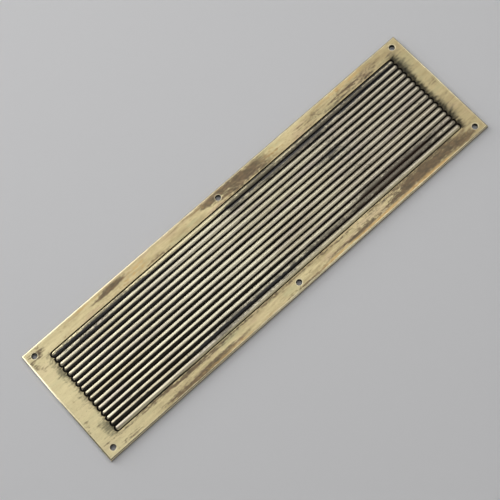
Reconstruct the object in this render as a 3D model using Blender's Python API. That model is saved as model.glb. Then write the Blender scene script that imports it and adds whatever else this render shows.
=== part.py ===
"""Reeded finger plate for a door, in brass.

A flat rectangular plate with bevelled edges has a shallow sunk field, and sixteen
half-round reeds with rounded ends lie in it side by side. The field's short walls
follow the reeds' ends in scallops. Six screw holes, one at each corner and one at the
middle of each long side, take the fixing screws.

Units are metres. +X runs along the plate, +Y across it and +Z out of its face.
The origin is at the middle of the back face.
"""

from math import asin, cos, pi, radians, sin

import bmesh
import bpy
from mathutils import Matrix, Vector

MM = 0.001

# The plate
LENGTH = 280.0 * MM
WIDTH = 77.0 * MM
THICKNESS = 2.6 * MM
BEVEL_WIDTH = 0.9 * MM

# The reeds
REED_COUNT = 16
REED_PITCH = 3.64 * MM
REED_GAP = 0.3 * MM
REED_START_X = -127.1 * MM
REED_END_X = 128.5 * MM
REED_ARC_STEPS = 14
REED_END_STEPS = 6

# The sunk field that they lie in
FIELD_DEPTH = 1.3 * MM
FIELD_SIDE_CLEARANCE = 0.35 * MM
FIELD_END_CLEARANCE = 0.75 * MM
SCALLOP_STEPS = 8

# The screw holes
HOLE_RADIUS = 1.65 * MM
HOLE_EASING = 0.35 * MM
HOLE_SIDES = 32
HOLE_END_INSET = 5.65 * MM
HOLE_SIDE_INSET = 4.7 * MM

# How far a cutter reaches past the face that it opens
CUT_MARGIN = 1.0 * MM

# Values that follow from those above
FLOOR_Z = THICKNESS - FIELD_DEPTH
REED_RADIUS = (REED_PITCH - REED_GAP) / 2
REED_BASE_Z = FLOOR_Z + REED_GAP
SCALLOP_RADIUS = REED_RADIUS + FIELD_SIDE_CLEARANCE
SCALLOP_SHIFT = REED_RADIUS - FIELD_END_CLEARANCE + FIELD_SIDE_CLEARANCE
SMOOTH_ANGLE = radians(35.0)


def clear_scene():
    """Remove the objects that the scene starts with."""
    for item in list(bpy.data.objects):
        bpy.data.objects.remove(item, do_unlink=True)


def make_material(name, color, roughness):
    """A metal finish with one colour and one roughness."""
    material = bpy.data.materials.new(name)
    material.use_nodes = True
    shader = material.node_tree.nodes["Principled BSDF"]
    shader.inputs["Base Color"].default_value = (*color, 1.0)
    shader.inputs["Metallic"].default_value = 1.0
    shader.inputs["Roughness"].default_value = roughness
    return material


def make_mesh(name, bm):
    """Turn a bmesh into a mesh that is smooth apart from its real edges."""
    bmesh.ops.recalc_face_normals(bm, faces=bm.faces)
    mesh = bpy.data.meshes.new(name)
    bm.to_mesh(mesh)
    bm.free()
    mesh.shade_smooth()
    mesh.set_sharp_from_angle(angle=SMOOTH_ANGLE)
    return mesh


def add_object(name, mesh, location=(0.0, 0.0, 0.0)):
    """Link a new object that shows the mesh at a place."""
    item = bpy.data.objects.new(name, mesh)
    item.location = location
    bpy.context.scene.collection.objects.link(item)
    return item


def mark_cutter(item):
    """Leave an object out of the model, so that it only cuts."""
    item.hide_render = True
    item.display_type = "WIRE"


def add_cut(target, cutter):
    """Cut one object with another by an exact Boolean."""
    cut = target.modifiers.new(cutter.name, "BOOLEAN")
    cut.operation = "DIFFERENCE"
    cut.solver = "EXACT"
    cut.object = cutter


def reed_y(index):
    """The line across the plate that a reed is centred on."""
    return (index - (REED_COUNT - 1) / 2) * REED_PITCH


def scallops(center_x, facing):
    """The field's wall around the reeds' ends, from the lowest reed to the highest.

    Each reed has an arc of its own, which stops where it meets the next one. The two
    outer arcs run on until they are level with the field's long walls.
    """
    inner = asin(REED_PITCH / 2 / SCALLOP_RADIUS)
    points = []
    for index in range(REED_COUNT):
        start = -pi / 2 if index == 0 else -inner
        end = pi / 2 if index == REED_COUNT - 1 else inner
        first_step = 0 if index == 0 else 1
        for step in range(first_step, SCALLOP_STEPS + 1):
            angle = start + (end - start) * step / SCALLOP_STEPS
            x = center_x + facing * SCALLOP_RADIUS * cos(angle)
            y = reed_y(index) + SCALLOP_RADIUS * sin(angle)
            points.append((x, y))
    return points


def make_field_cutter():
    """The sunk field: a prism from its floor up through the plate's face."""
    right = scallops(REED_END_X - SCALLOP_SHIFT, 1)
    left = scallops(REED_START_X + SCALLOP_SHIFT, -1)
    outline = right + left[::-1]
    bm = bmesh.new()
    floor = bm.faces.new([bm.verts.new((x, y, FLOOR_Z)) for x, y in outline])
    raised = bmesh.ops.extrude_face_region(bm, geom=[floor])
    top = [item for item in raised["geom"] if isinstance(item, bmesh.types.BMVert)]
    bmesh.ops.translate(bm, verts=top, vec=(0.0, 0.0, FIELD_DEPTH + CUT_MARGIN))
    cutter = add_object("field_cutter", make_mesh("field_cutter", bm))
    mark_cutter(cutter)
    return cutter


def make_hole_mesh():
    """A screw hole with its eased rim, turned about its own axis."""
    rim_z = THICKNESS - HOLE_EASING
    top_z = THICKNESS + CUT_MARGIN
    profile = [
        (0.0, -CUT_MARGIN),
        (HOLE_RADIUS, -CUT_MARGIN),
        (HOLE_RADIUS, rim_z),
        (HOLE_RADIUS + top_z - rim_z, top_z),
        (0.0, top_z),
    ]
    bm = bmesh.new()
    points = [bm.verts.new((radius, 0.0, z)) for radius, z in profile]
    edges = [bm.edges.new(pair) for pair in zip(points, points[1:])]
    bmesh.ops.spin(
        bm,
        geom=points + edges,
        cent=(0.0, 0.0, 0.0),
        axis=(0.0, 0.0, 1.0),
        angle=2 * pi,
        steps=HOLE_SIDES,
    )
    bmesh.ops.remove_doubles(bm, verts=bm.verts, dist=0.001 * MM)
    return make_mesh("screw_hole_cutter", bm)


def hole_positions():
    """The six screw holes' centres on the plate's face."""
    end_x = LENGTH / 2 - HOLE_END_INSET
    side_y = WIDTH / 2 - HOLE_SIDE_INSET
    return [(x, y) for y in (side_y, -side_y) for x in (-end_x, 0.0, end_x)]


def make_plate(material):
    """The plate with its bevelled face edges, sunk field and screw holes."""
    bm = bmesh.new()
    size = Matrix.Diagonal(Vector((LENGTH, WIDTH, THICKNESS, 1.0)))
    middle = Matrix.Translation((0.0, 0.0, THICKNESS / 2))
    bmesh.ops.create_cube(bm, size=1.0, matrix=middle @ size)
    face_edges = [
        edge for edge in bm.edges
        if all(vert.co.z > THICKNESS / 2 for vert in edge.verts)
    ]
    bmesh.ops.bevel(
        bm,
        geom=face_edges,
        offset=BEVEL_WIDTH,
        offset_type="OFFSET",
        segments=2,
        profile=0.5,
        affect="EDGES",
    )
    plate = add_object("plate", make_mesh("plate", bm))
    plate.data.materials.append(material)
    add_cut(plate, make_field_cutter())
    hole_mesh = make_hole_mesh()
    for number, (x, y) in enumerate(hole_positions(), 1):
        cutter = add_object(f"screw_hole_cutter_{number}", hole_mesh, (x, y, 0.0))
        mark_cutter(cutter)
        add_cut(plate, cutter)
    return plate


def make_reed_mesh(material):
    """Half a round bar with ball ends, spun about its own length and closed flat."""
    straight_start = REED_START_X + REED_RADIUS
    straight_end = REED_END_X - REED_RADIUS
    profile = []
    for step in range(REED_END_STEPS + 1):
        angle = pi / 2 * step / REED_END_STEPS
        profile.append((straight_start - REED_RADIUS * cos(angle), REED_RADIUS * sin(angle)))
    for step in range(REED_END_STEPS, -1, -1):
        angle = pi / 2 * step / REED_END_STEPS
        profile.append((straight_end + REED_RADIUS * cos(angle), REED_RADIUS * sin(angle)))
    bm = bmesh.new()
    points = [bm.verts.new((x, y, 0.0)) for x, y in profile]
    edges = [bm.edges.new(pair) for pair in zip(points, points[1:])]
    bmesh.ops.spin(
        bm,
        geom=points + edges,
        cent=(0.0, 0.0, 0.0),
        axis=(1.0, 0.0, 0.0),
        angle=pi,
        steps=REED_ARC_STEPS,
    )
    bmesh.ops.remove_doubles(bm, verts=bm.verts, dist=0.001 * MM)
    rim = [edge for edge in bm.edges if edge.is_boundary]
    bmesh.ops.edgeloop_fill(bm, edges=rim)
    mesh = make_mesh("reed", bm)
    mesh.materials.append(material)
    return mesh


def make_reeds(material):
    """All the reeds, side by side in the field, numbered from the highest Y down."""
    mesh = make_reed_mesh(material)
    for index in range(REED_COUNT):
        y = reed_y(REED_COUNT - 1 - index)
        add_object(f"reed_{index + 1:02d}", mesh, (0.0, y, REED_BASE_Z))


def main():
    clear_scene()
    plate_brass = make_material("plate_brass", (0.52, 0.42, 0.24), 0.38)
    reed_brass = make_material("reed_brass", (0.62, 0.54, 0.36), 0.30)
    make_plate(plate_brass)
    make_reeds(reed_brass)


main()
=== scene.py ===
"""Looks for the reeded finger plate: aged brass, rubbed bright on top and dark below.

Lengths are in millimetres, but for the lights', and are turned into metres by MM. The
plate's and the reeds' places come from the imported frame. The shapes here are finer versions
of the same solids, with the reeds carried down to the sunk field's floor.
"""

from math import asin, cos, pi, radians, sin, tau

import bmesh
import bpy
from mathutils import Matrix, Vector


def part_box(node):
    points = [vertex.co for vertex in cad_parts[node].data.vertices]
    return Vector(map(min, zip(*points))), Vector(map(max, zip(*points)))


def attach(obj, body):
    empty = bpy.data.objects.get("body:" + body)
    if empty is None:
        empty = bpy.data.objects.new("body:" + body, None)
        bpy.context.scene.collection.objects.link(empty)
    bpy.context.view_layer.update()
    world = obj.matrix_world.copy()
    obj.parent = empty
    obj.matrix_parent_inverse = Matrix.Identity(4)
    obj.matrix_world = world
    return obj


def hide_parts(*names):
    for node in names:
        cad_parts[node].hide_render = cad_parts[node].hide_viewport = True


MM = 0.001
WHITE = (1.0, 1.0, 1.0, 1.0)

# The camera, over the plate's lower left and rolled a little, with its roll in degrees
CAMERA_PLACE = (-118.0, -196.2, 698.7)
CAMERA_AIM = (-7.4, -1.5, 2.6)
CAMERA_ROLL = -12.8
CAMERA_LENS = 95.0
CAMERA_NEAR = 10

# The floor, which reaches this far each way and whose glow grows between two distances
FLOOR_REACH = 6000
FLOOR_COLOR = (0.80, 0.80, 0.81)
FLOOR_ROUGH = 0.9
FLOOR_FADE = (300, 1600)
FLOOR_GLOW = 0.34

# The room's brightness low down and overhead, and the heights where each is reached,
# from 0 at the horizon to 1 straight up
ROOM_LOW = 0.50
ROOM_HIGH = 0.16
ROOM_LOW_HEIGHT = 0.02
ROOM_HIGH_HEIGHT = 0.50

# The soft lights, in metres: name, place, the way that the first side runs, the lengths of
# both sides, then watts and the spread in degrees
SOFTBOXES = [
    ("key", (0.16, 0.40, 0.97), (1.0, -0.55, 0.0), (1.50, 0.95), 4.4, 180),
    ("window", (-0.40, 1.02, 0.42), (1.0, 0.42, 0.0), (1.05, 0.80), 1.55, 80),
    ("fill", (0.20, -0.62, 0.75), (1.0, 0.0, 0.0), (0.36, 0.60), 0.45, 180),
]

# The plate's edges, holes and sunk field
EDGE_RADIUS = 0.9
EDGE_STEPS = 6
LIP_RADIUS = 0.22
LIP_STEPS = 4
FLOOR_FILLET = 0.18
FLAT_WEIGHT = 90
HOLE_EASING = 0.35
HOLE_RADIUS = 1.65
HOLE_SIDES = 40
SCALLOP_STEPS = 14
END_CLEARANCE = 0.75
SIDE_CLEARANCE = 0.35
FIELD_DEPTH = 1.3
HOLE_END_INSET = 5.65
HOLE_SIDE_INSET = 4.7

# The reeds: how many, the steps round them and over their ends, and the spacing along them
REED_COUNT = 16
REED_ARC_STEPS = 26
REED_DOME_STEPS = 9
REED_STATION = 3.2

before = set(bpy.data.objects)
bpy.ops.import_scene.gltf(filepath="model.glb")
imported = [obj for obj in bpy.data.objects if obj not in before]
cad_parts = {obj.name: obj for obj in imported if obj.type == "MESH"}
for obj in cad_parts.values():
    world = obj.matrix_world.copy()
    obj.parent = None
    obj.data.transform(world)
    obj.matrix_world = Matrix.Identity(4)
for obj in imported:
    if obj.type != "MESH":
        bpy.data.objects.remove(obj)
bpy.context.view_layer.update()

plate_low, plate_high = [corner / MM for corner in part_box("plate")]
first_low, first_high = [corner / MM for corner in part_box("reed_01")]
second_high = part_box("reed_02")[1] / MM

TOP = plate_high.z
FIELD_FLOOR = TOP - FIELD_DEPTH
HOLE_X = plate_high.x - HOLE_END_INSET
HOLE_Y = plate_high.y - HOLE_SIDE_INSET
REED_RADIUS = (first_high.y - first_low.y) / 2
REED_PITCH = first_high.y - second_high.y
REED_BASE = first_low.z
FIRST_REED_Y = (first_low.y + first_high.y) / 2


def reed_y(number):
    """The line that reed 1 to 16 is centred on, from the highest y down."""
    return FIRST_REED_Y - (number - 1) * REED_PITCH


# ---------------------------------------------------------------- meshes

def add_ring(bm, points, z):
    """A closed loop of vertices at one height."""
    return [bm.verts.new((x * MM, y * MM, z * MM)) for x, y in points]


def bridge(bm, first, second):
    """Quads between two loops with the same number of vertices."""
    for near, far in zip(range(len(first)), [*range(1, len(first)), 0]):
        bm.faces.new((first[near], first[far], second[far], second[near]))


def bridge_all(bm, rings):
    """Quads between each ring and the next."""
    for first, second in zip(rings, rings[1:]):
        bridge(bm, first, second)


def fill_between(bm, rings):
    """A flat face with one outline and any number of holes."""
    edges = []
    for ring in rings:
        for vert, following in zip(ring, ring[1:] + ring[:1]):
            edges.append(bm.edges.get((vert, following)))
    bmesh.ops.triangle_fill(bm, edges=edges, use_beauty=True)


def rectangle(inset):
    """The plate's outline, moved inwards."""
    left, right = plate_low.x + inset, plate_high.x - inset
    low, high = plate_low.y + inset, plate_high.y - inset
    return [(left, low), (right, low), (right, high), (left, high)]


def circle(center, radius):
    """A hole's outline at a radius."""
    turns = [tau * step / HOLE_SIDES for step in range(HOLE_SIDES)]
    return [(center[0] + radius * cos(t), center[1] + radius * sin(t)) for t in turns]


def scallops(center_x, facing, radius):
    """The arcs round the reeds' ends at one end of the field, from low y to high y."""
    inner = asin(REED_PITCH / 2 / radius)
    points = []
    for index in range(REED_COUNT):
        start = -pi / 2 if index == 0 else -inner
        end = pi / 2 if index == REED_COUNT - 1 else inner
        for step in range(0 if index == 0 else 1, SCALLOP_STEPS + 1):
            angle = start + (end - start) * step / SCALLOP_STEPS
            y = reed_y(REED_COUNT - index) + radius * sin(angle)
            points.append((center_x + facing * radius * cos(angle), y))
    return points


def field_outline(outset):
    """The sunk field's outline, moved outwards."""
    radius = REED_RADIUS + SIDE_CLEARANCE + outset
    shift = REED_RADIUS - END_CLEARANCE + SIDE_CLEARANCE
    right = scallops(first_high.x - shift, 1, radius)
    left = scallops(first_low.x + shift, -1, radius)
    return right + left[::-1]


def hole_centers():
    """The six screw holes: the corners and the middles of the long sides."""
    return [(x, y) for y in (-HOLE_Y, HOLE_Y) for x in (-HOLE_X, 0.0, HOLE_X)]


def quarter_round(radius, steps):
    """(inset, drop) pairs of a quarter round, from the flat face to the side."""
    turns = [pi / 2 * step / steps for step in range(steps + 1)]
    return [(radius * (1 - sin(t)), radius * (1 - cos(t))) for t in turns]


def finish_mesh(name, bm):
    """A new smooth object from a bmesh."""
    bmesh.ops.recalc_face_normals(bm, faces=bm.faces)
    mesh = bpy.data.meshes.new(name)
    bm.to_mesh(mesh)
    bm.free()
    mesh.shade_smooth()
    piece = bpy.data.objects.new(name, mesh)
    bpy.context.scene.collection.objects.link(piece)
    return piece


def weight_normals(piece):
    """Flat faces stay flat beside their rounded edges."""
    modifier = piece.modifiers.new("flat_faces", "WEIGHTED_NORMAL")
    modifier.mode = "FACE_AREA"
    modifier.weight = FLAT_WEIGHT


def make_plate():
    """The plate: a rounded edge, the sunk field with its lip, and six eased holes."""
    bm = bmesh.new()
    outer = [add_ring(bm, rectangle(0.0), plate_low.z)]
    for inset, drop in reversed(quarter_round(EDGE_RADIUS, EDGE_STEPS)):
        outer.append(add_ring(bm, rectangle(inset), TOP - drop))
    bridge_all(bm, outer)

    field = [
        add_ring(bm, field_outline(inset), TOP - drop)
        for inset, drop in quarter_round(LIP_RADIUS, LIP_STEPS)
    ]
    field.append(add_ring(bm, field_outline(0.0), FIELD_FLOOR + FLOOR_FILLET))
    field.append(add_ring(bm, field_outline(-FLOOR_FILLET), FIELD_FLOOR))
    bridge_all(bm, field)
    fill_between(bm, field[-1:])

    tops, bottoms = [], []
    for center in hole_centers():
        rim = [
            add_ring(bm, circle(center, HOLE_RADIUS + inset), TOP - drop)
            for inset, drop in quarter_round(HOLE_EASING, LIP_STEPS)
        ]
        rim.append(add_ring(bm, circle(center, HOLE_RADIUS), plate_low.z))
        bridge_all(bm, rim)
        tops.append(rim[0])
        bottoms.append(rim[-1])
    fill_between(bm, [outer[-1], field[0], *tops])
    fill_between(bm, [outer[0], *bottoms])
    plate = finish_mesh("brass_plate", bm)
    weight_normals(plate)
    return plate


def reed_loop(bm, x, y, radius):
    """One closed section of a reed: a half round, then straight down to the field's floor."""
    points = []
    for step in range(REED_ARC_STEPS + 1):
        angle = pi * step / REED_ARC_STEPS
        points.append((y + radius * cos(angle), REED_BASE + radius * sin(angle)))
    points.append((y - radius, FIELD_FLOOR))
    points.append((y + radius, FIELD_FLOOR))
    return [bm.verts.new((x * MM, py * MM, pz * MM)) for py, pz in points]


def reed_stations(low_x, high_x):
    """(x, radius) of each section along a reed, over its rounded ends as well."""
    dome = []
    for step in range(1, REED_DOME_STEPS + 1):
        angle = pi / 2 * step / REED_DOME_STEPS
        dome.append((REED_RADIUS * (1 - cos(angle)), REED_RADIUS * sin(angle)))
    straight = high_x - low_x - 2 * REED_RADIUS
    count = round(straight / REED_STATION)
    stations = [(low_x + inset, radius) for inset, radius in dome]
    for step in range(1, count):
        stations.append((low_x + REED_RADIUS + straight * step / count, REED_RADIUS))
    return stations + [(high_x - inset, radius) for inset, radius in reversed(dome)]


def make_reed(number):
    """The reed with this number, in its place in the frame."""
    low, high = [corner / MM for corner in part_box(f"reed_{number:02d}")]
    center_y = (low.y + high.y) / 2
    bm = bmesh.new()
    loops = [reed_loop(bm, x, center_y, radius) for x, radius in reed_stations(low.x, high.x)]
    bridge_all(bm, loops)
    bm.faces.new(loops[0])
    bm.faces.new(loops[-1])
    return finish_mesh(f"brass_reed_{number:02d}", bm)


# ---------------------------------------------------------------- node helpers

class Nodes:
    """Short calls that add nodes to a material and join them up."""

    def __init__(self, name):
        self.material = bpy.data.materials.new(name)
        self.material.use_nodes = True
        self.tree = self.material.node_tree
        self.shader = self.tree.nodes["Principled BSDF"]

    def put(self, value, socket):
        """Feed a socket with another node's output or with a plain value."""
        if isinstance(value, bpy.types.NodeSocket):
            self.tree.links.new(value, socket)
        else:
            socket.default_value = value

    def math(self, operation, *values):
        node = self.tree.nodes.new("ShaderNodeMath")
        node.operation = operation
        for value, socket in zip(values, node.inputs):
            self.put(value, socket)
        return node.outputs[0]

    def times(self, first, second):
        return self.math("MULTIPLY", first, second)

    def plus(self, first, second):
        return self.math("ADD", first, second)

    def larger(self, first, second):
        return self.math("MAXIMUM", first, second)

    def inverse(self, mask):
        return self.math("SUBTRACT", 1.0, mask)

    def total(self, *terms, offset=0.0):
        """The sum of (value, weight) terms and an offset."""
        for value, weight in terms:
            offset = self.math("MULTIPLY_ADD", value, weight, offset)
        return offset

    def distance_squared(self, along, across):
        """The square of the distance that two steps at right angles make."""
        return self.math("MULTIPLY_ADD", across, across, self.times(along, along))

    def distance(self, along, across):
        return self.math("SQRT", self.distance_squared(along, across))

    def sway(self, value, noise, reach):
        """The value, moved by noise up to half the reach either way."""
        return self.math("MULTIPLY_ADD", noise, reach, self.plus(value, -reach / 2))

    def step(self, value, start, end):
        """A smooth rise from 0 at the start to 1 at the end, which may be the smaller."""
        node = self.tree.nodes.new("ShaderNodeMapRange")
        node.interpolation_type = "SMOOTHSTEP"
        node.clamp = True
        self.put(value, node.inputs["Value"])
        rises = start < end
        bounds = (start, end, 0.0, 1.0) if rises else (end, start, 1.0, 0.0)
        names = ("From Min", "From Max", "To Min", "To Max")
        for name, bound in zip(names, bounds):
            node.inputs[name].default_value = bound
        return node.outputs["Result"]

    def mix(self, amount, first, second):
        """One colour over another, by an amount from 0 to 1."""
        node = self.tree.nodes.new("ShaderNodeMix")
        node.data_type = "RGBA"
        node.clamp_factor = True
        self.put(amount, node.inputs[0])
        for value, socket in ((first, node.inputs[6]), (second, node.inputs[7])):
            is_color = isinstance(value, tuple) and len(value) == 3
            self.put((*value, 1.0) if is_color else value, socket)
        return node.outputs[2]

    def tint(self, color, other, mask, strength):
        """A colour with another over it where the mask is, at a strength."""
        return self.mix(self.times(mask, strength), color, other)

    def blend(self, amount, first, second):
        """One number over another, by an amount from 0 to 1."""
        node = self.tree.nodes.new("ShaderNodeMix")
        node.data_type = "FLOAT"
        node.clamp_factor = True
        for value, socket in zip((amount, first, second), (node.inputs[0], *node.inputs[2:4])):
            self.put(value, socket)
        return node.outputs[0]

    def stretch(self, vector, amounts):
        """The coordinates, scaled by a different amount each way."""
        node = self.tree.nodes.new("ShaderNodeVectorMath")
        node.operation = "MULTIPLY"
        self.put(vector, node.inputs[0])
        node.inputs[1].default_value = amounts
        return node.outputs[0]

    def noise(self, vector, texture):
        """Noise from 0 to 1, as one of the noise lines below describes it."""
        length, width, detail, roughness = texture
        node = self.tree.nodes.new("ShaderNodeTexNoise")
        self.put(self.stretch(vector, (1 / length, 1 / width, 1 / width)), node.inputs["Vector"])
        node.inputs["Scale"].default_value = 1.0
        node.inputs["Detail"].default_value = detail
        node.inputs["Roughness"].default_value = roughness
        return node.outputs["Fac"]

    def place(self):
        """The point on the object in millimetres, whole and split into x, y and z."""
        source = self.tree.nodes.new("ShaderNodeTexCoord")
        whole = self.stretch(source.outputs["Object"], (1 / MM,) * 3)
        split = self.tree.nodes.new("ShaderNodeSeparateXYZ")
        self.put(whole, split.inputs[0])
        return whole, *split.outputs

    def bump(self, height):
        """A bump from a height in millimetres."""
        node = self.tree.nodes.new("ShaderNodeBump")
        node.inputs["Strength"].default_value = 1.0
        node.inputs["Distance"].default_value = MM
        self.put(height, node.inputs["Height"])
        return node.outputs["Normal"]

    def surface(self, color, rough, metal, height):
        """Give the shader these and return the material."""
        self.put(color, self.shader.inputs["Base Color"])
        self.put(rough, self.shader.inputs["Roughness"])
        self.put(metal, self.shader.inputs["Metallic"])
        self.put(self.bump(height), self.shader.inputs["Normal"])
        return self.material


# ---------------------------------------------------------------- aged brass

# The first colour below is painted light, laid over the plate's left end.
BRASS_PAINTED_LIGHT = (0.79, 0.695, 0.41)
BRASS_LIGHT = (0.70, 0.595, 0.335)
BRASS_DEEP = (0.40, 0.315, 0.17)
ROSY = (0.60, 0.455, 0.29)
OLIVE = (0.50, 0.475, 0.27)
WORN_AND_HIGHLIGHT = (0.86, 0.775, 0.53)
GOLD = (0.66, 0.43, 0.17)
REED_BRIGHT = (0.93, 0.875, 0.67)
REED_LIGHT = (0.84, 0.785, 0.58)
REED_DEEP = (0.60, 0.53, 0.37)
REED_ROSY = (0.60, 0.53, 0.43)
REED_GREY = (0.15, 0.135, 0.11)
OUTER_FLANK = (0.84, 0.75, 0.48)
STAIN_GREY = (0.125, 0.095, 0.066)
STAIN_BROWN = (0.25, 0.168, 0.098)
GREEN_GREY = (0.155, 0.150, 0.098)
SLATE = (0.080, 0.080, 0.084)
UMBER = (0.140, 0.100, 0.074)
BLACK = (0.022, 0.019, 0.014)

# Noise: the length and width of its grains, then its detail and roughness
DRIFT = (24, 4.5, 4.0, 0.6)
RUBBING = (11, 0.32, 4.0, 0.62)
MOTTLE = (3.2, 1.1, 4.0, 0.65)
GRAIN = (1.3, 0.6, 3.0, 0.7)
PITS = (0.75, 0.5, 3.0, 0.6)
STREAKS = (13, 1.2, 5.0, 0.7)
SPECKS = (2.3, 1.2, 4.0, 0.75)
TONGUES = (4.0, 1.3, 4.0, 0.6)
WANDER_ALONG = (22, 7, 2.0, 0.55)
WANDER_ACROSS = (31, 11, 2.0, 0.55)
PLATE_HUE = (26, 6, 4.0, 0.6)
PLATE_WAVES = (15, 7, 2.0, 0.55)
REED_HUE = (34, 3.2, 3.0, 0.6)
REED_WAVES = (24, 1.9, 2.0, 0.55)
REED_RAGGED = (20, 1.1, 5.0, 0.65)
REED_EACH = (70, 2.6, 2.0, 0.5)

# Where looks change: none of the change at the first place and all of it at the second.
# The last word tells what is measured: X, Y or Z as in the frame, with SMUDGE_Y on both
# sides, IN from the plate's edge, OUT from a hole's middle, or PAST the reeds' ends.
# The plate's painted shade towards its right end and painted light at its left end
PLATE_PAINTED_SHADE_X = (40, 135)
PLATE_PAINTED_LIGHT_X = (-90, -135)
SIDE_Z = (TOP - 0.8, TOP - 1.3)
WALL_Z = (TOP - 0.10, TOP - 0.45)
WORN_AND_HIGHLIT_IN = (1.2, 0.6)
WALL_IN = (1.5, 2.5)
RIM_OUT = (2.4, 2.0)
SMUDGE_START_PAST = (-1.0, 0.0)
SMUDGE_RIGHT_PAST = (7.0, 0.4)
SMUDGE_LEFT_PAST = (5.0, 0.3)
SMUDGE_Y = (30.5, 29.2)
CREST_AND_HIGHLIGHT_LEAN_X = (-100, 60)
FIRST_REED_TINT_Y = (24.9, 26.0)
FIRST_FLANK_Y = (28.3, 29.0)
LAST_FLANK_Y = (-27.4, -28.2)
GROOVE_Z = (REED_BASE + 1.22, REED_BASE + 0.75)
OUTER_GROOVE_Z = (REED_BASE + 0.95, REED_BASE + 0.55)
POLISHED_LEFT_X = (-85, -40)
POLISHED_RIGHT_X = (12, -16)
REED_DULL_X = (25, 85)
WARM_X = (5, 45)
WARM_Y = (6, -6)
UPPER_LEFT_X = (10, -70)
UPPER_LEFT_Y = (-6, 10)

# The value of its noise or amount at which a look starts, and the value at which it is full
DEEP_TONE = (0.62, 1.05)
DARK_GRAIN = (0.50, 0.72)
PIT = (0.63, 0.72)
PLATE_ROSY = (0.52, 0.66)
PLATE_OLIVE = (0.48, 0.34)
BROWN_STAIN = (0.35, 0.65)
FINISH_LEFT = (0.26, 0.82)
FINISH_LEFT_AT_ENDS = (0.15, 1.0)
SMUDGE = (0.10, 0.75)
REED_ROSY_HUE = (0.46, 0.66)
REED_DEEP_EACH = (0.50, 0.72)
OFF_CREST_DARK = (0.58, 0.84)

# How much of each noise goes into the brass's tone: drift, rubbing and mottle
TONE_WEIGHTS = (0.75, 0.55, 0.28)
GRAIN_STRENGTH = 0.45

# How the old finish is broken up by streaks and specks, what is taken off their sum, and
# how much that counts beside the patches
BROKEN_WEIGHTS = (2.4, 2.0)
BROKEN_OFFSET = -2.25
BROKEN_SHARE = 0.95
BROKEN_SHARE_AT_ENDS = 0.9

# How much of the brown a gold patch takes away
GOLD_OVER_BROWN = -0.55

# What makes a smudge: the right end, the left end and the tongues, less an offset
SMUDGE_WEIGHTS = (1.0, 0.72, 1.5)
SMUDGE_OFFSET = -1.06

# How much the grey patches dull the reeds' black sides, and how much lighter they are towards the
# upper left
DULLED_WEIGHTS = (0.9, 0.4)

# How far noise moves an edge from side to side: the finish in millimetres along and
# across, the edge's wear and painted highlight in millimetres, and the reeds' rubbed strips in
# reed radiuses
WANDER_REACH_ALONG = 14.0
WANDER_REACH_ACROSS = 2.6
WORN_AND_HIGHLIT_REACH = 1.4
RAGGED_REACH = 0.45
MOTTLE_REACH = 0.25
EACH_REACH = 0.8

# Where the rubbed strip lies across a reed, how it moves along and across the plate, and
# how much grey narrows it and an outer flank widens it, in reed radiuses. Its lean follows
# the highlight, so it is painted highlight as well as rubbing
CREST_AND_HIGHLIGHT_LEAN = 0.44
CREST_AND_HIGHLIGHT_LEAN_ALONG = -0.58
CREST_AND_HIGHLIGHT_LEAN_PER_MM = -0.0055
GREY_OFF_CREST = 0.24
OUTER_OFF_CREST = -0.7

# How rough the brass is, with the clean brass between two limits, and how metallic it is.
# Green-grey counts as stained by less than the rest.
PLATE_ROUGH = (0.27, 0.45)
REED_ROUGH = (0.24, 0.40)
WORN_ROUGH = 0.25
STAINED_ROUGH = 0.55
GREEN_STAINED = 0.7
CLEAN_METAL = 1.0
PLATE_STAINED_METAL = 0.7
REED_STAINED_METAL = 0.6
LAST_FLANK_LESS_METAL = -0.35

# How deep the plate's and the reeds' rubbing, pits and waves are, in millimetres
PLATE_RELIEF = (0.014, -0.017, 0.10)
REED_RELIEF = (0.011, -0.012, 0.07)

# Where the finish is left on: middle x and y, half length, half width, strength
BROWN_PATCHES = [
    (-76, 35.0, 8, 1.3, 1.0), (-45, 30.8, 9, 1.1, 0.7), (18, 35.6, 17, 2.4, 0.85),
    (24, 31.5, 14, 2.6, 0.85), (0, 33.0, 10, 4.5, 0.4), (108, 31.5, 18, 2.2, 0.6),
    (-122, -36.2, 6, 1.4, 0.7), (-70, -36.4, 16, 1.5, 1.0), (-84, -30.6, 26, 1.3, 0.6),
    (4, -37.0, 12, 1.2, 0.9), (34, -35.4, 15, 1.1, 0.5), (78, -34.0, 14, 2.2, 0.75),
    (104, -33.2, 20, 3.3, 1.05), (126, -35.0, 8, 2.2, 0.6), (-130.5, 34.0, 3, 3.2, 0.9),
    (-137, 30.0, 1.5, 6, 0.55), (-136.5, -16.0, 1.2, 7, 0.5), (-10, -30.2, 120, 1.0, 0.6),
    (-20, 36.8, 24, 1.0, 0.4), (70, 32.5, 20, 3.0, 0.3), (134, 5.0, 3.0, 14, 0.25),
    (46, -35.6, 12, 1.5, 0.85), (-60, -35.6, 15, 1.4, 0.7), (-94, -35.8, 10, 1.2, 0.5),
    (-82, 34.4, 9, 1.6, 0.75), (100, 34.8, 26, 1.8, 0.35), (-8, 35.9, 8, 1.3, 0.5),
]
GREY_PATCHES = [
    (-100, 26.6, 34, 1.7, 1.1), (92, 26.0, 36, 1.6, 1.1), (20, 26.8, 26, 1.8, 0.9),
    (48, 23.7, 36, 1.5, 0.78), (-105, 23.0, 20, 1.5, 0.5), (110, 14.0, 14, 4.0, 0.4),
    (90, -23.5, 36, 2.4, 0.85), (-20, -25.6, 34, 1.6, 0.75), (2, -23.2, 60, 1.5, 0.62),
    (86, -20.0, 24, 1.6, 0.75), (70, 1.0, 12, 20, 0.42), (-110, -20.0, 14, 4.0, 0.35),
    (60, 9.0, 10, 2.0, 0.5), (-50, -26.5, 12, 1.8, 0.7), (112, -3.0, 14, 5.0, 0.3),
    (-64, 26.0, 9, 1.8, 0.6), (2, 22.6, 7, 2.4, 0.5),
]
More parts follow.
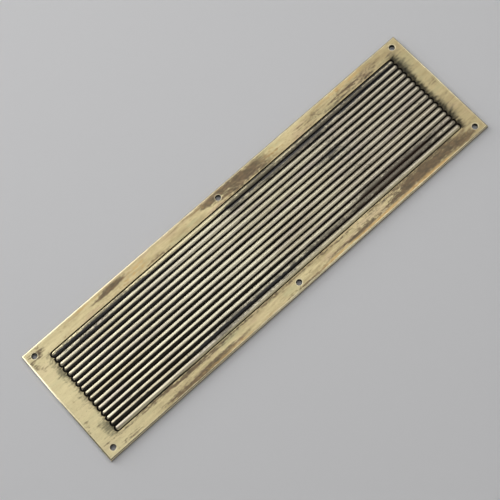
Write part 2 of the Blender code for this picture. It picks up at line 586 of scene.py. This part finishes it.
GOLD_PATCHES = [
    (45, -37.0, 34, 1.0, 0.9), (100, -37.2, 16, 1.2, 1.1), (-6, 36.6, 16, 1.4, 0.7),
    (40, 34.0, 12, 4.0, 0.5), (-62, 33.5, 16, 3.0, 0.45), (-60, -37.0, 24, 1.4, 0.7),
    (95, 36.5, 24, 1.6, 0.6), (-95, 37.0, 14, 1.2, 0.5), (128, -33.0, 9, 3.0, 0.4),
]
GREEN_PATCHES = [
    (-129.2, 17.0, 2.4, 10, 0.75), (-129.5, -4.0, 2.0, 6, 0.45), (-129.4, -24.0, 3.0, 5, 1.0),
    (130.6, 21.0, 3.6, 8, 1.0), (130.5, -16.0, 3.5, 12, 0.7), (-55, -30.2, 30, 1.2, 0.5),
    (100, 31.0, 24, 1.4, 0.7), (60, -31.5, 24, 1.6, 0.4),
]


def patches(nodes, x, y, table):
    """The sum of soft oval patches, each half as strong at its half length or width."""
    total = 0.0
    for middle_x, middle_y, half_length, half_width, strength in table:
        along = nodes.total((x, 1 / half_length), offset=-middle_x / half_length)
        across = nodes.total((y, 1 / half_width), offset=-middle_y / half_width)
        fall = nodes.math("POWER", 0.5, nodes.distance_squared(along, across))
        total = nodes.total((fall, strength), offset=total)
    return total


class Finish:
    """The old finish that is left on in places, broken up along the plate."""

    def __init__(self, nodes, whole, x, y):
        self.nodes = nodes
        self.x = nodes.sway(x, nodes.noise(whole, WANDER_ALONG), WANDER_REACH_ALONG)
        self.y = nodes.sway(y, nodes.noise(whole, WANDER_ACROSS), WANDER_REACH_ACROSS)
        streaks = nodes.noise(whole, STREAKS)
        specks = nodes.noise(whole, SPECKS)
        noises = zip((streaks, specks), BROKEN_WEIGHTS)
        self.broken = nodes.total(*noises, offset=BROKEN_OFFSET)

    def left(self, table):
        """How much is left on at the patches of one table, from 0 to 1."""
        amount = patches(self.nodes, self.x, self.y, table)
        amount = self.nodes.total((self.broken, BROKEN_SHARE), offset=amount)
        return self.nodes.step(amount, *FINISH_LEFT)

    def left_at_ends(self, x, y, table):
        """The same, without the wandering, for patches beside the reeds' ends."""
        amount = patches(self.nodes, x, y, table)
        amount = self.nodes.total((self.broken, BROKEN_SHARE_AT_ENDS), offset=amount)
        return self.nodes.step(amount, *FINISH_LEFT_AT_ENDS)


def brass_tone(nodes, whole, light, deep):
    """Brass that drifts between two tones, with fine lengthwise rubbing."""
    rubbing = nodes.noise(whole, RUBBING)
    mottle = nodes.noise(whole, MOTTLE)
    noises = (nodes.noise(whole, DRIFT), rubbing, mottle)
    mixed = nodes.total(*zip(noises, TONE_WEIGHTS))
    color = nodes.mix(nodes.step(mixed, *DEEP_TONE), light, deep)
    grain = nodes.step(nodes.noise(whole, GRAIN), *DARK_GRAIN)
    return nodes.tint(color, deep, grain, GRAIN_STRENGTH), rubbing, mottle


def pits(nodes, whole):
    """Small dark pits, 1 where one is."""
    return nodes.step(nodes.noise(whole, PITS), *PIT)


def hole_distance(nodes, x, y):
    """How far a point is from the middle of the nearest screw hole."""
    away_x = nodes.math("ABSOLUTE", x)
    from_end = nodes.math("ABSOLUTE", nodes.math("SUBTRACT", away_x, HOLE_X))
    along = nodes.math("MINIMUM", away_x, from_end)
    across = nodes.math("SUBTRACT", nodes.math("ABSOLUTE", y), HOLE_Y)
    return nodes.distance(along, across)


def edge_distance(nodes, x, y):
    """How far a point is in from the plate's nearest edge."""
    edge_x = nodes.math("SUBTRACT", plate_high.x, nodes.math("ABSOLUTE", x))
    edge_y = nodes.math("SUBTRACT", plate_high.y, nodes.math("ABSOLUTE", y))
    return nodes.math("MINIMUM", edge_x, edge_y)


def end_smudges(nodes, whole, x, y):
    """Black left beyond the reeds' ends, more of it at the right."""
    right = nodes.math("SUBTRACT", x, first_high.x)
    left = nodes.math("SUBTRACT", first_low.x, x)
    shades = []
    for past, reach in ((right, SMUDGE_RIGHT_PAST), (left, SMUDGE_LEFT_PAST)):
        shades.append(nodes.times(nodes.step(past, *reach), nodes.step(past, *SMUDGE_START_PAST)))
    tongues = nodes.noise(whole, TONGUES)
    parts = zip((*shades, tongues), SMUDGE_WEIGHTS)
    amount = nodes.total(*parts, offset=SMUDGE_OFFSET)
    beside_field = nodes.step(nodes.math("ABSOLUTE", y), *SMUDGE_Y)
    return nodes.times(nodes.step(amount, *SMUDGE), beside_field)


def plate_brass():
    """The plate: painted light at its left end and painted shade at its right, with stains along
    its margins.
    """
    nodes = Nodes("plate_brass")
    whole, x, y, z = nodes.place()
    color, rubbing, mottle = brass_tone(nodes, whole, BRASS_LIGHT, BRASS_DEEP)

    # The edges, rims and walls, with a painted highlight on the edges and painted shade in the
    # holes
    edge = edge_distance(nodes, x, y)
    # The rounded edge brightened: wear, and a painted highlight along it.
    worn_and_highlit = nodes.step(nodes.sway(edge, mottle, WORN_AND_HIGHLIT_REACH), *WORN_AND_HIGHLIT_IN)
    rim = nodes.step(hole_distance(nodes, x, y), *RIM_OUT)
    # The plate's sides painted darker below the rounded edge.
    side = nodes.step(z, *SIDE_Z)
    # The walls of the sunk field and the holes painted black: grime in the hollows, and painted
    # shade in the holes as well.
    wall = nodes.times(nodes.step(z, *WALL_Z), nodes.step(edge, *WALL_IN))

    # What is left of the old finish
    finish = Finish(nodes, whole, x, y)
    gold = finish.left(GOLD_PATCHES)
    green = finish.left_at_ends(x, y, GREEN_PATCHES)
    brown = nodes.times(finish.left(BROWN_PATCHES), nodes.inverse(worn_and_highlit))
    brown = nodes.times(brown, nodes.total((gold, GOLD_OVER_BROWN), offset=1.0))
    brown_grey = nodes.mix(nodes.step(mottle, *BROWN_STAIN), STAIN_GREY, STAIN_BROWN)
    smudge = end_smudges(nodes, whole, x, y)
    pitted = pits(nodes, whole)

    # Each layer's colour, where it lies and how strong it is
    hue = nodes.noise(whole, PLATE_HUE)
    layers = [
        (ROSY, nodes.step(hue, *PLATE_ROSY), 0.55), (OLIVE, nodes.step(hue, *PLATE_OLIVE), 0.55),
        # Painted light and shade: darker towards the right end and lighter at the left end, where
        # the light falls off along the plate.
        (BRASS_DEEP, nodes.step(x, *PLATE_PAINTED_SHADE_X), 0.45),
        (BRASS_PAINTED_LIGHT, nodes.step(x, *PLATE_PAINTED_LIGHT_X), 0.6),
        (GOLD, gold, 0.75), (GREEN_GREY, green, 0.75), (brown_grey, brown, 0.88),
        (STAIN_GREY, pitted, 0.45), (BLACK, smudge, 0.92), (WORN_AND_HIGHLIGHT, worn_and_highlit, 0.8),
        (WORN_AND_HIGHLIGHT, rim, 0.7), (brown_grey, side, 0.85), (BLACK, wall, 0.96),
    ]
    for layer, mask, strength in layers:
        color = nodes.tint(color, layer, mask, strength)

    darkened = nodes.larger(nodes.larger(brown, smudge), nodes.larger(side, wall))
    darkened = nodes.larger(darkened, nodes.times(green, GREEN_STAINED))
    rough = nodes.blend(rubbing, *PLATE_ROUGH)
    rough = nodes.blend(worn_and_highlit, rough, WORN_ROUGH)
    rough = nodes.blend(darkened, rough, STAINED_ROUGH)
    metal = nodes.blend(darkened, CLEAN_METAL, PLATE_STAINED_METAL)
    waves = nodes.noise(whole, PLATE_WAVES)
    height = nodes.total(*zip((rubbing, pitted, waves), PLATE_RELIEF))
    return nodes.surface(color, rough, metal, height)


def crest_distance(nodes, x, y, ragged, mottle, each):
    """How far off a reed's rubbed crest a point is, where 1 is a reed's radius.

    The rubbed strip leans to +Y at the plate's left and to -Y at its right, after where the
    highlight falls, so the lean is painted highlight as well as rubbing.
    """
    half = REED_PITCH / 2
    local = nodes.math("WRAP", nodes.math("SUBTRACT", y, half), half, -half)
    across = nodes.math("DIVIDE", local, REED_RADIUS)
    # The lean follows the highlight's place along and across the plate: painted highlight.
    crest_and_highlight_leaning = nodes.step(x, *CREST_AND_HIGHLIGHT_LEAN_X)
    crest_and_highlight_lean = nodes.total((crest_and_highlight_leaning, CREST_AND_HIGHLIGHT_LEAN_ALONG), (y, CREST_AND_HIGHLIGHT_LEAN_PER_MM), offset=CREST_AND_HIGHLIGHT_LEAN)
    off_crest = nodes.math("ABSOLUTE", nodes.math("SUBTRACT", across, crest_and_highlight_lean))
    reaches = (RAGGED_REACH, MOTTLE_REACH, EACH_REACH)
    for noise, reach in zip((ragged, mottle, each), reaches):
        off_crest = nodes.sway(off_crest, noise, reach)
    return off_crest


def reed_brass():
    """The reeds: rubbed bright along their crests and black down their sides."""
    nodes = Nodes("reed_brass")
    whole, x, y, z = nodes.place()
    color, rubbing, mottle = brass_tone(nodes, whole, REED_LIGHT, REED_DEEP)
    grey = Finish(nodes, whole, x, y).left(GREY_PATCHES)
    each = nodes.noise(whole, REED_EACH)
    ragged = nodes.noise(whole, REED_RAGGED)
    pitted = pits(nodes, whole)

    # The dark sides, which stop lower on the outer flanks of the first and last reeds
    last_flank = nodes.step(y, *LAST_FLANK_Y)
    outer = nodes.larger(last_flank, nodes.step(y, *FIRST_FLANK_Y))
    off_crest = crest_distance(nodes, x, y, ragged, mottle, each)
    moves = ((grey, GREY_OFF_CREST), (outer, OUTER_OFF_CREST))
    off_crest = nodes.total(*moves, offset=off_crest)
    low = nodes.blend(outer, nodes.step(z, *GROOVE_Z), nodes.step(z, *OUTER_GROOVE_Z))
    dark = nodes.larger(nodes.step(off_crest, *OFF_CREST_DARK), low)

    # Black, dulled to umber at the lower right and to slate elsewhere
    warm = nodes.times(nodes.step(x, *WARM_X), nodes.step(y, *WARM_Y))
    # The reeds' black sides painted lighter towards the upper left.
    upper_left = nodes.times(nodes.step(x, *UPPER_LEFT_X), nodes.step(y, *UPPER_LEFT_Y))
    dulled = nodes.total(*zip((grey, upper_left), DULLED_WEIGHTS))
    shade = nodes.mix(dulled, BLACK, nodes.mix(warm, SLATE, UMBER))

    # Each layer's colour, where it lies and how strong it is
    hue = nodes.noise(whole, REED_HUE)
    polished = nodes.times(nodes.step(x, *POLISHED_LEFT_X), nodes.step(x, *POLISHED_RIGHT_X))
    layers = [
        (REED_ROSY, nodes.step(hue, *REED_ROSY_HUE), 1.0),
        (REED_DEEP, nodes.step(each, *REED_DEEP_EACH), 1.0),
        (REED_BRIGHT, polished, 0.42), (OUTER_FLANK, nodes.step(y, *FIRST_REED_TINT_Y), 0.9),
        (REED_ROSY, nodes.step(x, *REED_DULL_X), 0.5), (OUTER_FLANK, last_flank, 0.85),
        (REED_GREY, grey, 0.75), (STAIN_GREY, pitted, 0.35), (shade, dark, 0.97),
    ]
    for layer, mask, strength in layers:
        color = nodes.tint(color, layer, mask, strength)

    rough = nodes.blend(rubbing, *REED_ROUGH)
    rough = nodes.blend(nodes.larger(dark, grey), rough, STAINED_ROUGH)
    metal = nodes.blend(dark, CLEAN_METAL, REED_STAINED_METAL)
    metal = nodes.total((last_flank, LAST_FLANK_LESS_METAL), offset=metal)
    waves = nodes.noise(whole, REED_WAVES)
    height = nodes.total(*zip((rubbing, pitted, waves), REED_RELIEF))
    return nodes.surface(color, rough, metal, height)


# ---------------------------------------------------------------- stage

def make_floor():
    """A plain pale floor that glows faintly far out, so that it fades into the room."""
    mesh = bpy.data.meshes.new("floor")
    reach = FLOOR_REACH * MM
    corners = [(-reach, -reach, 0), (reach, -reach, 0), (reach, reach, 0), (-reach, reach, 0)]
    mesh.from_pydata(corners, [], [(0, 1, 2, 3)])
    floor = bpy.data.objects.new("floor", mesh)
    bpy.context.scene.collection.objects.link(floor)
    nodes = Nodes("pale_floor")
    _, x, y, _ = nodes.place()
    glow = nodes.times(nodes.step(nodes.distance(x, y), *FLOOR_FADE), FLOOR_GLOW)
    nodes.put((*FLOOR_COLOR, 1.0), nodes.shader.inputs["Base Color"])
    nodes.put(FLOOR_ROUGH, nodes.shader.inputs["Roughness"])
    nodes.put(WHITE, nodes.shader.inputs["Emission Color"])
    nodes.put(glow, nodes.shader.inputs["Emission Strength"])
    mesh.materials.append(nodes.material)


def add_softbox(name, place, along, size, power, spread):
    """A rectangular soft light that faces the plate, with its first side as given."""
    light = bpy.data.lights.new(name, "AREA")
    light.shape = "RECTANGLE"
    light.size, light.size_y = size
    light.energy = power
    light.spread = radians(spread)
    item = bpy.data.objects.new(name, light)
    away = Vector(place).normalized()
    side = Vector(along)
    side = (side - away * side.dot(away)).normalized()
    turn = Matrix((side, away.cross(side), away)).transposed().to_4x4()
    item.matrix_world = Matrix.Translation(place) @ turn
    item.visible_camera = False
    bpy.context.scene.collection.objects.link(item)


def make_world():
    """A plain white room that is palest near the ground."""
    world = bpy.data.worlds.new("studio")
    world.use_nodes = True
    tree = world.node_tree
    background = tree.nodes["Background"]
    background.inputs["Color"].default_value = WHITE
    source = tree.nodes.new("ShaderNodeTexCoord")
    split = tree.nodes.new("ShaderNodeSeparateXYZ")
    fall = tree.nodes.new("ShaderNodeMapRange")
    fall.interpolation_type = "SMOOTHSTEP"
    tree.links.new(source.outputs["Generated"], split.inputs[0])
    tree.links.new(split.outputs["Z"], fall.inputs["Value"])
    fall.inputs["From Min"].default_value = ROOM_LOW_HEIGHT
    fall.inputs["From Max"].default_value = ROOM_HIGH_HEIGHT
    fall.inputs["To Min"].default_value = ROOM_LOW
    fall.inputs["To Max"].default_value = ROOM_HIGH
    tree.links.new(fall.outputs["Result"], background.inputs["Strength"])
    bpy.context.scene.world = world


def make_camera():
    """The photograph's viewing angle, from a perspective fit to the plate."""
    data = bpy.data.cameras.new("camera")
    data.lens = CAMERA_LENS
    data.clip_start = CAMERA_NEAR * MM
    camera = bpy.data.objects.new("camera", data)
    place, aim = Vector(CAMERA_PLACE) * MM, Vector(CAMERA_AIM) * MM
    camera.location = place
    turn = (aim - place).to_track_quat("-Z", "Y").to_matrix().to_4x4()
    roll = Matrix.Rotation(radians(CAMERA_ROLL), 4, "Z")
    camera.rotation_euler = (turn @ roll).to_euler()
    bpy.context.scene.collection.objects.link(camera)
    bpy.context.scene.camera = camera


make_camera()
make_floor()
make_world()
for softbox in SOFTBOXES:
    add_softbox(*softbox)
bpy.context.scene.view_settings.view_transform = "Standard"

plate = make_plate()
plate.data.materials.append(plate_brass())
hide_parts("plate")
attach(plate, "root")
reed_finish = reed_brass()
for number in range(1, REED_COUNT + 1):
    reed = make_reed(number)
    reed.data.materials.append(reed_finish)
    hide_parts(f"reed_{number:02d}")
    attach(reed, "root")
